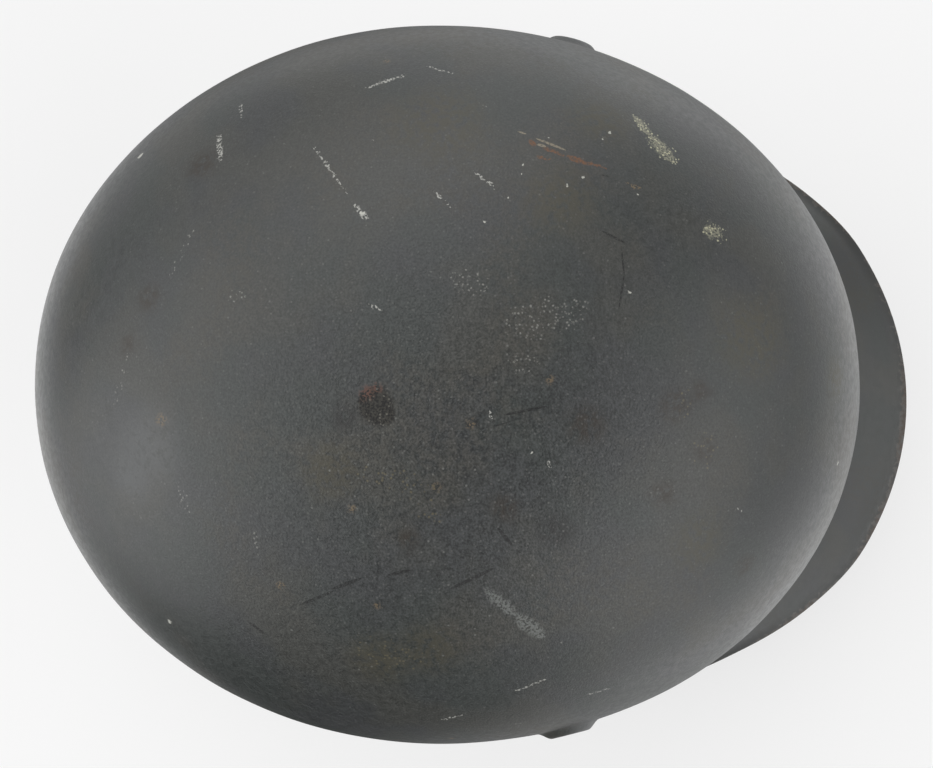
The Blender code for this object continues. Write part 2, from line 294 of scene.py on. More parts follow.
def on_wall(frame_there, azimuth, height, across, up):
    """Points of the dome over given places in the plane of a wall frame, and their normals."""
    back = np.array(frame_there.inverted())
    turn = np.full(len(across), float(azimuth)) + np.degrees(across / ROUGH_RADIUS)
    level_of = height + up
    for _ in range(12):
        here = dome_by_height(turn, level_of)
        local = here @ back[:3, :3].T + back[:3, 3]
        turn = turn + np.degrees((across - local[:, 0]) / ROUGH_RADIUS)
        level_of = level_of + (up - local[:, 1])
    here = dome_by_height(turn, level_of)
    local = here @ back[:3, :3].T + back[:3, 3]
    aside = dome_by_height(turn + 0.1, level_of) - dome_by_height(turn - 0.1, level_of)
    above = dome_by_height(turn, level_of + 0.0001) - dome_by_height(turn, level_of - 0.0001)
    outward = np.cross(aside, above)
    return here, outward / np.linalg.norm(outward, axis=1, keepdims=True), local[:, 2]


holes = []


def pierce(azimuth, height, radii, count, rise=0.0, top=0.0001, foot=0.0002):
    """Opens the grid round a spot on the dome and fills it with rings about a hole.

    The punch lifts what lies within the radius top to a flat rise, and nothing beyond foot."""
    there = wall_frame(azimuth, height)
    axis = np.array(there.col[2][:3])
    back = np.array(there.inverted())
    local = base @ back[:3, :3].T + back[:3, 3]
    half = radii[-1] + OPENING_MARGIN
    near = (np.abs(local[..., :2]) < half).all(axis=-1) & (local[..., 2] > -0.02)
    rows, columns = np.nonzero(near)
    j0, j1, i0, i1 = rows.min(), rows.max(), columns.min(), columns.max()
    taken[j0:j1, i0:i1] = True
    loop = (
        [(j0, i) for i in range(i0, i1)] + [(j, i1) for j in range(j0, j1)]
        + [(j1, i) for i in range(i1, i0, -1)] + [(j, i0) for j in range(j1, j0, -1)]
    )
    names = [grid_index(j, i) for j, i in loop]
    flat = [local[j, i, :2] for j, i in loop]
    for j in range(j0 + 1, j1):
        for i in range(i0 + 1, i1):
            if math.hypot(*local[j, i, :2]) > radii[-1] + POINT_MARGIN:
                names.append(grid_index(j, i))
                flat.append(local[j, i, :2])
    for k, radius in enumerate(radii):
        turn = 2 * math.pi * (np.arange(count) + 0.5 * (k % 2)) / count
        across, up = radius * np.cos(turn), radius * np.sin(turn)
        place, outward, sunk = on_wall(there, azimuth, height, across, up)
        share = np.clip((foot - radius) / (foot - top), 0, 1)
        share = share * share * (3 - 2 * share)
        lift = (share * (rise - sunk))[:, None] * axis[None, :]
        ring = add_points(place, outward, lift, np.full(count, FAR))
        if k == 0:
            holes.append((ring, axis, np.array(there.translation)))
            rim = range(len(names), len(names) + count)
        names += list(ring)
        flat += list(np.stack([across, up], -1))
    join_flat(np.array(flat) * 1000, names, len(loop), rim)


# The radii of the rings, from each hole's rim outwards
VENT_STEPS, RIVET_STEPS = 56, 28
vent_rings = np.array((
    3.35, 3.6, 4.1, 4.6, 4.95, 5.3, 5.65, 6.0, 6.35, 6.7, 7.05, 7.4, 7.8, 8.3, 9.1, 10.3,
)) / 1000
rivet_rings = np.array((2.6, 3.0, 3.6, 4.6)) / 1000
for side in (1, -1):
    azimuth = side * vent_azimuth() % 360
    pierce(azimuth, VENT_HEIGHT, vent_rings, VENT_STEPS, VENT_RISE, VENT_TOP, VENT_BASE)
RIVET_SPOTS = (
    ("rivet_left", SIDE_RIVET, SIDE_RIVET_HEIGHT),
    ("rivet_right", 360 - SIDE_RIVET, SIDE_RIVET_HEIGHT),
    ("rivet_rear", 180.0, REAR_RIVET_HEIGHT),
)
for _, azimuth, height in RIVET_SPOTS:
    pierce(azimuth, height, rivet_rings, RIVET_STEPS)

for j in range(ROWS - 1):
    for i in range(COLUMNS):
        if not taken[j, i]:
            faces.append([
                grid_index(j, i), grid_index(j + 1, i), grid_index(j + 1, i + 1), grid_index(j, i + 1)
            ])

# The hot press leaves the sheet very slightly uneven, less and less over its last 2 cm
BROAD_WAVE, FINE_WAVE = 0.00022, 0.00009
place, outward = np.concatenate(points), np.concatenate(normals)
lift, run = np.concatenate(lifts), np.concatenate(edge_runs)
uneven = np.array([
    BROAD_WAVE * noise.noise(Vector(p) * 22.0)
    + FINE_WAVE * noise.noise(Vector(p) * 61.0 + Vector((7, 3, 5)))
    for p in place
])
place = place + (uneven * np.clip(run / 0.02, 0, 1))[:, None] * outward + lift
count = len(place)
back_face = place - SHEET * outward
verts = [place, back_face]
skins = [0] * len(faces) + [1] * len(faces)
faces += [[c + count for c in reversed(f)] for f in faces]

# The raw edge, rounded a little by its trimming, between the two faces
edge_columns = np.arange(COLUMNS)
outer_ring = grid_index(ROWS - 1, edge_columns)
inner_ring = outer_ring + count
out = base[-1] - base[-2]
out /= np.linalg.norm(out, axis=1, keepdims=True)
middle = (place[outer_ring] + back_face[outer_ring]) / 2
half_sheet = (place[outer_ring] - back_face[outer_ring]) / 2
rings = [outer_ring]
total = 2 * count
extra_runs = []
for angle in (62, 38, 14, -14, -38, -62):
    s, c = math.sin(math.radians(angle)), math.cos(math.radians(angle))
    across = math.copysign(abs(s) ** EDGE_FULLNESS, s)
    verts.append(middle + across * half_sheet + EDGE_ROUND * c**EDGE_FULLNESS * out)
    rings.append(total + edge_columns)
    extra_runs.append(np.zeros(COLUMNS))
    total += COLUMNS
rings.append(inner_ring)
for upper, lower in zip(rings, rings[1:]):
    for i in range(COLUMNS):
        k = (i + 1) % COLUMNS
        faces.append([int(upper[i]), int(lower[i]), int(lower[k]), int(upper[k])])
        skins.append(0)

# The holes' walls, rounded a little at both faces
for names, axis, centre in holes:
    n = len(names)
    wall = [names]
    for depth in (HOLE_ROUND, SHEET - HOLE_ROUND):
        spot = place[names] - depth * axis
        radial = spot - centre
        radial -= (radial @ axis)[:, None] * axis
        radial /= np.linalg.norm(radial, axis=1, keepdims=True)
        verts.append(spot - HOLE_ROUND * radial)
        wall.append(total + np.arange(n))
        extra_runs.append(np.full(n, FAR))
        total += n
    wall.append(names + count)
    for upper, lower in zip(wall, wall[1:]):
        for i in range(n):
            k = (i + 1) % n
            faces.append([int(upper[i]), int(upper[k]), int(lower[k]), int(lower[i])])
            skins.append(0)

verts = np.concatenate(verts)
runs = np.concatenate([run, run] + extra_runs)
used = np.zeros(len(verts), bool)
for f in faces:
    used[f] = True
renumber = np.cumsum(used) - 1
shell_mesh = bpy.data.meshes.new("helmet_shell")
shell_mesh.from_pydata(verts[used].tolist(), [], [[int(renumber[c]) for c in f] for f in faces])
shell_mesh.polygons.foreach_set("material_index", skins)
edge_attribute = shell_mesh.attributes.new("from_edge", "FLOAT", "POINT")
edge_attribute.data.foreach_set("value", (runs[used] * 1000).astype(np.float32))
shell_mesh.shade_smooth()
shell_mesh.set_sharp_from_angle(angle=math.radians(50))
shell = bpy.data.objects.new("helmet_shell", shell_mesh)
bpy.context.scene.collection.objects.link(shell)


class Wire:
    """One socket of a material, for plain arithmetic: each sign adds its Math node."""

    def __init__(self, tree, socket=None):
        self.tree, self.socket = tree, socket

    def node(self, kind, settings=None, inputs=None, output=0):
        made = self.tree.nodes.new(kind)
        for name, value in (settings or {}).items():
            setattr(made, name, value)
        for name, value in (inputs or {}).items():
            socket = made.inputs[name] if isinstance(name, int) else next(
                s for s in made.inputs if name in (s.identifier, s.name)
            )
            if isinstance(value, Wire):
                self.tree.links.new(value.socket, socket)
            else:
                socket.default_value = value
        found = made.outputs[output] if isinstance(output, int) else next(
            s for s in made.outputs if output in (s.identifier, s.name)
        )
        return Wire(self.tree, found)

    def of(self, name):
        return Wire(self.tree, self.socket.node.outputs[name])

    def split(self):
        return self.node("ShaderNodeSeparateXYZ", {}, {0: self}, "X")

    def math(self, operation, first, second):
        return self.node("ShaderNodeMath", {"operation": operation}, {0: first, 1: second})

    def __add__(self, other):
        return self.math("ADD", self, other)

    __radd__ = __add__

    def __sub__(self, other):
        return self.math("SUBTRACT", self, other)

    def __rsub__(self, other):
        return self.math("SUBTRACT", other, self)

    def __mul__(self, other):
        return self.math("MULTIPLY", self, other)

    __rmul__ = __mul__

    def __or__(self, other):
        return self.math("MAXIMUM", self, other)

    def vector(self, operation, other):
        output = "Value" if operation in ("DISTANCE", "DOT_PRODUCT") else "Vector"
        return self.node(
            "ShaderNodeVectorMath", {"operation": operation}, {0: self, 1: other}, output
        )

    def scaled(self, amount):
        return self.node(
            "ShaderNodeVectorMath", {"operation": "SCALE"}, {0: self, "Scale": amount}
        )

    def between(self, low, high, start=0.0, end=1.0):
        """Eased from start at low to end at high."""
        return self.node(
            "ShaderNodeMapRange", {"interpolation_type": "SMOOTHSTEP"},
            {"Value": self, 1: low, 2: high, 3: start, 4: end},
        )

    def mix(self, first, second):
        """This wire as the share of the second colour over the first."""
        return self.node(
            "ShaderNodeMix", {"data_type": "RGBA"},
            {"Factor_Float": self, "A_Color": first, "B_Color": second}, "Result_Color",
        )

    def cloud(self, size, detail, roughness, output="Fac"):
        """Noise over this place, in millimetres, with features of that size."""
        return self.node(
            "ShaderNodeTexNoise", {},
            {"Vector": self, "Scale": 1.0 / size, "Detail": detail, "Roughness": roughness},
            output,
        )


def new_finish(name):
    material = bpy.data.materials.new(name)
    material.use_nodes = True
    return material, Wire(material.node_tree), material.node_tree.nodes["Principled BSDF"]


def millimetres(wire):
    return wire.node("ShaderNodeTexCoord", output="Object").scaled(1000.0)


def join(shader, name, wire):
    wire.tree.links.new(wire.socket, shader.inputs[name])


def bumped(wire, depth, height):
    return wire.node(
        "ShaderNodeBump", {}, {"Strength": 1.0, "Distance": depth, "Height": height}
    )


# What has happened to its paint: each mark lies along a line between two places of the dome
# seen from above, or about one place, in millimetres, with its half width there.
SCRATCHES = (
    (47.0, 20.3, 34.8, 11.5, 0.35), (32.4, 9.6, 28.7, 6.7, 0.8), (34.8, -7.2, 31.6, -11.8, 0.4),
    (40.1, -15.6, 35.9, -20.9, 0.4), (69.0, -3.5, 66.6, -9.9, 0.4), (10.2, 5.8, 8.3, 2.3, 0.3),
    (-31.4, -73.6, -33.2, -75.9, 0.35), (-76.2, -41.3, -74.6, -46.9, 0.4),
    (-82.5, -7.6, -80.6, -13.4, 0.45), (52.9, 44.5, 44.3, 42.3, 0.9), (62.2, 10.5, 66.1, 1.1, 0.6),
    (61.4, 41.0, 56.4, 39.2, 0.4), (-11.7, -19.9, -13.9, -20.5, 0.4),
    (-22.1, -31.9, -23.9, -33.2, 0.4), (-74.3, -24.4, -71.0, -32.2, 0.45),
)
WHITE_DOTS = (
    (51.9, -45.7, 0.5), (50.1, -43.8, 0.4), (39.7, -39.6, 0.4), (37.3, -35.9, 0.35),
    (13.7, -49.2, 0.45), (-21.5, -103.1, 0.6), (-60.8, 56.4, 0.8), (51.7, 68.2, 0.9),
    (47.7, 6.7, 0.35), (28.2, -18.5, 0.4), (-20.4, -28.6, 0.35), (30.5, 7.9, 0.5),
    (49.2, -31.8, 0.35), (41.9, -26.5, 0.35), (39.9, -26.3, 0.3), (33.9, -23.4, 0.35),
    (36.5, -51.3, 0.3),
)
DOTTED_SCUFFS = (
    (28.5, 46.8, 17.6, 51.8, 1.3), (1.4, 61.8, -11.3, 65.8, 1.4), (12.8, 36.8, 12.0, 33.3, 1.5),
    (-27.7, 49.2, -34.9, 46.2, 1.3), (-37.7, 31.1, -45.6, 29.6, 1.4),
    (58.3, -16.7, 55.8, -18.1, 1.0), (-62.0, -34.1, -51.4, -71.5, 0.9),
    (-84.3, -24.0, -84.2, -26.9, 0.9), (5.3, -23.0, 10.4, -40.4, 4.5),
    (-2.7, -24.5, -0.7, -30.6, 2.5), (16.5, -12.4, 13.3, -18.8, 3.0),
)
PALE_SCUFFS = ((-49.5, -18.9, -55.3, -25.3, 1.5), (-55.3, -25.3, -60.5, -31.5, 2.0))
LIME_PATCHES = (
    (57.4, -51.5, 51.6, -55.4, 2.0), (51.6, -55.4, 46.3, -59.8, 3.4), (29.3, -66.9, 29.2, -70.3, 3.0),
)
DARK_SCRATCHES = (
    (-54.3, 22.0, -50.6, 13.6, 0.5), (-50.3, 14.2, -47.6, 7.4, 0.6), (-46.8, 1.6, -45.6, -3.1, 0.55),
    (-49.6, -11.5, -44.9, -20.9, 0.6), (-58.5, 34.7, -61.4, 30.8, 0.5),
    (-12.9, -22.8, -10.9, -31.9, 0.4), (27.2, -43.4, 24.8, -48.4, 0.4),
    (24.0, -47.5, 17.0, -48.2, 0.3), (17.6, -48.1, 10.3, -47.0, 0.35),
    (-15.4, -20.5, -7.7, -43.6, 0.4), (-36.4, -21.8, -40.0, -24.7, 0.55),
    (40.6, -43.4, 40.3, -45.4, 0.35),
)
RUST_STREAKS = (
    (48.4, -27.4, 46.9, -29.2, 0.6), (46.6, -30.4, 44.5, -36.0, 0.55), (44.6, -35.6, 42.9, -41.6, 0.75),
    (43.4, -40.6, 42.3, -44.6, 0.45), (44.0, -29.5, 43.6, -32.1, 0.45),
)
CREAM_LINES = (
    (48.8, -29.0, 46.1, -35.8, 0.4), (47.3, -29.3, 46.8, -31.3, 0.45),
    (50.4, -25.0, 49.8, -27.0, 0.3),
)
TAN_DOTS = (
    (-63.1, 9.5, -66.5, -4.0, 5.0), (-26.6, -1.4, -34.8, -9.7, 4.0), (-16.6, -66.0, -21.8, -66.1, 3.5),
    (-12.0, -60.0, -8.0, -62.5, 3.0), (-24.6, 8.1, -28.6, -9.7, 3.0),
)
RUST_SPOTS = (
    (71.1, 6.0, 0.9), (-27.9, -8.9, 1.1), (-14.8, -16.2, 1.1), (-89.6, -9.0, 0.8), (-32.8, 8.9, 1.0),
    (-49.9, 25.8, 1.1), (-53.7, 4.1, 1.0), (-14.2, 52.7, 1.5), (-5.4, -32.5, 1.0),
    (39.2, -48.7, 37.9, -52.2, 0.6),
)
BROWN_STAINS = (
    (-10.0, -59.4, 4.5), (-6.8, -65.0, 3.0), (-19.4, -66.0, 3.5), (-29.0, -57.0, 3.5),
    (13.1, 56.9, 4.0), (2.7, 61.9, 3.0), (45.0, 47.4, 5.0), (-14.7, -40.2, 5.0),
    (-38.7, -2.9, 3.0), (-32.2, -23.2, 3.5), (-45.3, -77.3, 3.0),
)
SOOT_STAINS = ((-36.7, -33.9, 5.0), (-13.6, 10.3, 3.6))
OLIVE_STAINS = (
    (-1.3, -101.1, 6.0), (6.0, -76.7, 11.0), (-66.4, 4.6, 8.0), (-63.6, -6.7, 8.0),
    (55.0, -43.5, 8.0), (52.9, -7.9, 12.0), (33.9, -34.4, 9.0), (-39.1, -65.6, 8.0), (-24.7, 13.5, 7.0),
)
RUST_PIT = ((-11.1, 3.7, 4.1), (-12.6, 2.6, 3.2))
PIT_RED = ((-8.6, 5.6, 1.9), (-7.4, 3.4, 1.2))
# Two pale spots on the crown's rear: a little chalk dust, and over it a painted reflection of the
# room's light
SHEEN_AND_CHALK_SPOTS = ((-20.0, 56.0, 11.0), (-26.0, 61.0, 8.0))


def on_dome(x, y):
    across, ahead = x / 1000, CROWN_Y - y / 1000
    turn = math.degrees(math.atan2(across, ahead))
    return dome_by_radius(np.array([turn]), np.array([math.hypot(across, ahead)]))[0] * 1000


# Wear of the same kinds on the sides and the back, by column and row of the sheet
chance = random.Random(5)
VISOR_COLUMNS = 42
SIDE_ROWS = (44, ROWS - 6)


def strokes_round(count, low, high, shortest, longest, width, tilt=1.0):
    """Lines scattered over rows low to high of the sheet, clear of the visor's middle."""
    found = []
    for _ in range(count):
        column = chance.randint(VISOR_COLUMNS, COLUMNS - VISOR_COLUMNS)
        row = chance.randint(low, high)
        length, lean = chance.uniform(shortest, longest), chance.uniform(-tilt, tilt)
        a = base[row, column] * 1000
        along = level[row, column] / np.linalg.norm(level[row, column])
        fall = down[row, column] / np.linalg.norm(down[row, column])
        way = along * math.cos(lean * math.pi / 2) + fall * math.sin(lean * math.pi / 2)
        found.append((a, a + length * way, width * chance.uniform(0.7, 1.4)))
    return found


side_scratches = strokes_round(22, *SIDE_ROWS, 3, 13, 0.5)
side_dark = strokes_round(12, *SIDE_ROWS, 5, 16, 0.4, 0.4)
side_dotted = strokes_round(14, *SIDE_ROWS, 4, 14, 2.2)
side_rust = strokes_round(9, *SIDE_ROWS, 0.2, 1.5, 1.0)
side_stains = strokes_round(14, *SIDE_ROWS, 2, 16, 5.0)


def lines_on_dome(rows):
    return [(on_dome(*row[:2]), on_dome(*row[-3:-1]), row[-1]) for row in rows]


def nearest(place, marks):
    """1 at the rim of the nearest mark, 0 on its middle line. A long mark is a thin ellipse."""
    found = None
    for a, b, width in marks:
        apart = place.vector("DISTANCE", tuple(a))
        length = float(np.linalg.norm(b - a))
        if length > 0.001:
            apart = apart + place.vector("DISTANCE", tuple(b))
            spare = math.sqrt(length**2 + 4 * width**2) - length
            apart = apart.node(
                "ShaderNodeMath", {"operation": "MULTIPLY_ADD"},
                {0: apart, 1: 1 / spare, 2: -length / spare},
            )
        else:
            apart = apart * (1 / width)
        found = apart if found is None else found.math("MINIMUM", found, apart)
    return found


NOWHERE = 99.0


def ratio_at(spots, marks):
    """For many places at once: 1 at the rim of the nearest mark, 0 on its middle line."""
    found = np.full(len(spots), NOWHERE)
    for a, b, width in marks:
        length = float(np.linalg.norm(b - a))
        apart = np.linalg.norm(spots - a, axis=1) + np.linalg.norm(spots - b, axis=1)
        spare = math.sqrt(length**2 + 4 * width**2) - length
        found = np.minimum(found, (apart - length) / spare)
    return found


def hold(name, values):
    held = shell_mesh.attributes.new(name, "FLOAT", "POINT")
    held.data.foreach_set("value", values.astype(np.float32))


def eased(values, low, high):
    share = np.clip((values - low) / (high - low), 0, 1)
    return share * share * (3 - 2 * share)


def cells(place, size):
    """The distance in millimetres to the middle of a random cell, and the cell's own chance."""
    found = place.node(
        "ShaderNodeTexVoronoi", {}, {"Vector": place, "Scale": 1.0 / size}, "Distance"
    )
    return found * size, found.of("Color").vector("DOT_PRODUCT", (0.6, 0.4, 0.0))


def shell_attribute(wire, name):
    return wire.node("ShaderNodeAttribute", {"attribute_name": name}, output="Fac")


# The thin marks are drawn in the shader, and the soft ones are held by the mesh with their
# rim, their strength and their paint
OLIVE, BROWN = (0.054, 0.049, 0.032, 1), (0.027, 0.020, 0.014, 1)
# The pale grey beside the soot is a painted reflection over a little chalk dust
SOOT, SHEEN_AND_CHALK = (0.019, 0.018, 0.018, 1), (0.085, 0.088, 0.090, 1)
thin = {
    "pale": lines_on_dome(PALE_SCUFFS),
    "dotted": lines_on_dome(DOTTED_SCUFFS) + side_dotted,
    "lime": lines_on_dome(LIME_PATCHES),
    "dark": lines_on_dome(DARK_SCRATCHES) + side_dark,
    "rust": lines_on_dome(RUST_STREAKS) + side_rust,
    "ochre": lines_on_dome(RUST_SPOTS),
    "tan": lines_on_dome(TAN_DOTS),
    "cream": lines_on_dome(CREAM_LINES),
    "scratch": lines_on_dome(SCRATCHES) + side_scratches,
    "white": lines_on_dome(WHITE_DOTS),
    "pit": lines_on_dome(RUST_PIT),
    "red": lines_on_dome(PIT_RED),
}
soft = {
    "olive": (lines_on_dome(OLIVE_STAINS), 1.3, 0.7, OLIVE),
    "brown": (lines_on_dome(BROWN_STAINS) + side_stains, 1.2, 0.8, BROWN),
    "soot": (lines_on_dome(SOOT_STAINS), 1.2, 0.85, SOOT),
    # a painted reflection over a little chalk dust, not a stain
    "sheen_and_chalk": (lines_on_dome(SHEEN_AND_CHALK_SPOTS), 1.2, 0.65, SHEEN_AND_CHALK),
}
spots_mm = verts[used] * 1000
for name, (marks, rim, _, _) in soft.items():
    hold(name, eased(ratio_at(spots_mm, marks), rim, 0.25))
# Only near a thin mark is that part of the shader worked out
MARK_MARGIN, NEAR_MARK, OFF_MARK = 1.6, 3.5, 5.5
near = np.full(len(spots_mm), NOWHERE)
for marks in thin.values():
    for a, b, width in marks:
        reach = b - a
        share = np.clip((spots_mm - a) @ reach / max(reach @ reach, 1e-9), 0, 1)
        apart = np.linalg.norm(spots_mm - a - share[:, None] * reach, axis=1)
        near = np.minimum(near, apart - MARK_MARGIN * width)
hold("near_mark", eased(near, OFF_MARK, NEAR_MARK))
# The grit is coarsest on the crown's right side and fades out down the sides and on the brim
GRIT_X, GRIT_Y, GRIT_FAR, GRIT_NEAR = -30, -12, 78, 8
GRIT_LOW, GRIT_HIGH = 52, 66
from_middle = np.hypot(spots_mm[:, 0] - GRIT_X, spots_mm[:, 1] - GRIT_Y)
round_about = 0.42 + 0.58 * eased(from_middle, GRIT_FAR, GRIT_NEAR)
hold("grit", round_about * (0.25 + 0.75 * eased(spots_mm[:, 2], GRIT_LOW, GRIT_HIGH)))

SLATE, COOL_SLATE = (0.0385, 0.0430, 0.0412, 1), (0.0400, 0.0425, 0.0432, 1)
PALE_SLATE, BROWN_HAZE = (0.0455, 0.0468, 0.0430, 1), (0.050, 0.044, 0.034, 1)
DARK_GRIT, LIGHT_GRIT = (0.017, 0.018, 0.017, 1), (0.165, 0.168, 0.158, 1)
# A darker tone for the brim along its edge
DARKER_BRIM_PAINT = (0.032, 0.032, 0.030, 1)
STEEL, RUSTY_STEEL = (0.075, 0.07, 0.064, 1), (0.062, 0.04, 0.026, 1)

outside, wire, shader = new_finish("slate_paint")
place, run = millimetres(wire), shell_attribute(wire, "from_edge")
fine, coarse = place.cloud(0.5, 1.0, 0.6), place.cloud(1.6, 2.0, 0.6)
tints = place.cloud(26.0, 3.0, 0.55, "Color").split()
patch, other, warm = tints, tints.of("Y"), tints.of("Z")
colour = patch.between(0.4, 0.6).mix(SLATE, COOL_SLATE)
colour = other.between(0.45, 0.62).mix(colour, PALE_SLATE)
brown = warm.between(0.5, 0.64) * 0.3 * coarse.between(0.35, 0.6)
colour = brown.mix(colour, BROWN_HAZE)
grit = shell_attribute(wire, "grit")
grain = fine.between(0.25, 0.75, -0.4, 0.4) + coarse.between(0.3, 0.7, -0.17, 0.17)
colour = colour.scaled(grain * grit + 1.0)
# Real stains, and one pale patch that is a painted reflection over a little chalk dust
for name, (_, _, share, paint) in soft.items():
    stain = shell_attribute(wire, name) * share * coarse.between(0.28, 0.6)
    colour = stain.mix(colour, paint)

# Grit in the paint, light and dark
from_dot, draw = cells(place, 0.75)
dot = from_dot.between(0.32, 0.12)
from_speck, luck = cells(place, 2.3)
speck = from_speck.between(0.34, 0.12) * luck.between(0.42, 0.5)
colour = (dot * draw.between(0.3, 0.22) * grit * 0.6).mix(colour, DARK_GRIT)
sown = other.between(0.35, 0.6, 0.35, 1.0)
light = ((dot * draw.between(0.62, 0.75) * 0.3) | (speck * sown * 0.75)) * grit
colour = light.mix(colour, LIGHT_GRIT)

# The raw edge has lost its paint, and the brim beside it is darker, unevenly, over its last 6 mm
uneven = coarse * 0.5 + patch * 0.5
darker_brim = run.between(6.0, 0.5) * uneven.between(0.35, 0.65, 0.1, 0.55)
colour = darker_brim.mix(colour, DARKER_BRIM_PAINT)
worn = (run + uneven.between(0.38, 0.62, -1.4, 1.3)).between(1.0, 0.2)
steel = coarse.between(0.35, 0.65).mix(STEEL, RUSTY_STEEL)
colour = (worn * 0.85).mix(colour, steel)
rough = coarse.between(0.3, 0.7, 0.38, 0.48)
bump = bumped(wire, 0.00015, (fine * 0.7 + coarse * 0.5) * grit)
join(shader, "Base Color", colour)
join(shader, "Roughness", rough)
join(shader, "Normal", bump)

# The thin marks, most of them with ragged rims
RAGGED = 0.8
wobble = place.cloud(1.2, 1.0, 0.6, "Color")
ragged = wobble.node(
    "ShaderNodeVectorMath", {"operation": "MULTIPLY_ADD"}, {0: wobble, 1: (2 * RAGGED,) * 3, 2: place}
).vector("SUBTRACT", (RAGGED,) * 3)
broken = fine.between(0.44, 0.6)


def spread(kind, core, rim=1.1):
    return nearest(ragged, thin[kind]).between(rim, core)


def scattered(kind, fill, size):
    """Dots that fill a share of the marks and thin out towards their rims."""
    share = (spread(kind, 0.0, 1.7) * fill - draw).between(0.0, 0.14)
    return share * from_dot.between(size, size * 0.5)


PALE_DUST, PALE_SPECKS = (0.15, 0.158, 0.15, 1), (0.24, 0.24, 0.22, 1)
LIME, SCORED_PAINT = (0.38, 0.37, 0.26, 1), (0.008, 0.008, 0.008, 1)
RUST, CREAM = (0.15, 0.072, 0.037, 1), (0.21, 0.18, 0.13, 1)
OCHRE, TAN = (0.135, 0.100, 0.060, 1), (0.105, 0.092, 0.058, 1)
BARE_METAL, WHITE_PAINT = (0.40, 0.40, 0.37, 1), (0.5, 0.5, 0.45, 1)
PIT_BLACK, PIT_CRUST = (0.005, 0.0045, 0.004, 1), (0.030, 0.028, 0.023, 1)
PIT_GRAIN, RED_RUST = (0.10, 0.095, 0.08, 1), (0.10, 0.046, 0.033, 1)

dust = spread("pale", 0.1, 1.3) * fine.between(0.36, 0.6, 0.05, 0.8)
colour = dust.mix(colour, PALE_DUST)
specks = scattered("dotted", 0.75, 0.32) * fine.between(0.4, 0.56, 0.2, 0.65)
colour = specks.mix(colour, PALE_SPECKS)
lime = spread("lime", 0.1, 0.6) * fine.between(0.35, 0.6, 0.0, 0.45)
colour = (scattered("lime", 0.85, 0.35) | lime).mix(colour, LIME)
scored = nearest(place, thin["dark"]).between(1.0, 0.2) * fine.between(0.38, 0.54)
colour = (scored * 0.85).mix(colour, SCORED_PAINT)
rust = spread("rust", 0.2, 1.3) * fine.between(0.35, 0.6, 0.3, 0.95)
colour = rust.mix(colour, RUST)
cream = nearest(place, thin["cream"]).between(1.0, 0.4) * fine.between(0.36, 0.5, 0.3, 0.9)
colour = cream.mix(colour, CREAM)
ochre = spread("ochre", 0.1, 1.4) * fine.between(0.42, 0.56)
colour = ochre.mix(colour, OCHRE)
colour = (scattered("tan", 0.45, 0.36) * 0.8).mix(colour, TAN)
bare = spread("scratch", 0.4) * broken
colour = (bare * 0.8).mix(colour, BARE_METAL)
colour = (spread("white", 0.5) * 0.8).mix(colour, WHITE_PAINT)
eaten = spread("pit", 0.75, 1.12)
pitted = fine.between(0.42, 0.6).mix(PIT_BLACK, PIT_CRUST)
pitted = (dot * draw.between(0.55, 0.65)).mix(pitted, PIT_GRAIN)
colour = (eaten * 0.95).mix(colour, pitted)
red = spread("red", 0.1, 1.3) * fine.between(0.45, 0.54)
colour = (red * 0.85).mix(colour, RED_RUST)
marked = wire.tree.nodes.new("ShaderNodeBsdfPrincipled")
join(marked, "Base Color", colour)
join(marked, "Roughness", rough + (eaten | rust | red) * 0.3)
join(marked, "Normal", bump)
both = wire.tree.nodes.new("ShaderNodeMixShader")
join(both, 0, shell_attribute(wire, "near_mark"))
join(both, 1, Wire(wire.tree, shader.outputs[0]))
join(both, 2, Wire(wire.tree, marked.outputs[0]))
join(wire.tree.nodes["Material Output"], "Surface", Wire(wire.tree, both.outputs[0]))

# Inside, the same paint without the marks, dulled by sweat and dust, browner towards the edge
INNER_SLATE, DULLED_SLATE = (0.040, 0.043, 0.041, 1), (0.052, 0.051, 0.046, 1)
SWEAT_STAIN, RUST_FRECKLE = (0.062, 0.043, 0.029, 1), (0.085, 0.042, 0.022, 1)
EDGE_RUST = (0.07, 0.043, 0.027, 1)

inside, wire, shader = new_finish("inside_paint")
place, run = millimetres(wire), shell_attribute(wire, "from_edge")
fine, coarse = place.cloud(0.5, 2.0, 0.65), place.cloud(2.2, 3.0, 0.6)
patch = place.cloud(24.0, 4.0, 0.6)
stain = place.vector("ADD", (60.0, 0.0, 30.0)).cloud(11.0, 4.0, 0.65)
colour = patch.between(0.38, 0.62).mix(INNER_SLATE, DULLED_SLATE)
colour = colour.scaled(fine.between(0.3, 0.7, 0.85, 1.15))
colour = (stain.between(0.54, 0.68) * 0.6).mix(colour, SWEAT_STAIN)
from_freckle, draw = cells(place, 3.4)
freckles = from_freckle.between(0.9, 0.3) * draw.between(0.5, 0.6) * coarse.between(0.45, 0.6)
colour = (freckles * 0.8).mix(colour, RUST_FRECKLE)
near_edge = (run + stain.between(0.3, 0.7, -7.0, 7.0)).between(10.0, 1.0)
colour = (near_edge * coarse.between(0.4, 0.6, 0.2, 0.75)).mix(colour, EDGE_RUST)
join(shader, "Base Color", colour)
join(shader, "Roughness", near_edge.between(0.0, 1.0, 0.5, 0.65))
join(shader, "Normal", bumped(wire, 0.00008, fine * 0.6 + coarse + near_edge * coarse))

for material in (outside, inside):
    shell_mesh.materials.append(material)
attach(shell, "root")
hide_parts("shell")


# Three split rivets held the liner: a domed head outside, a shank, and two legs that were
# opened flat against the wall inside. They are steel, and painted with the shell.

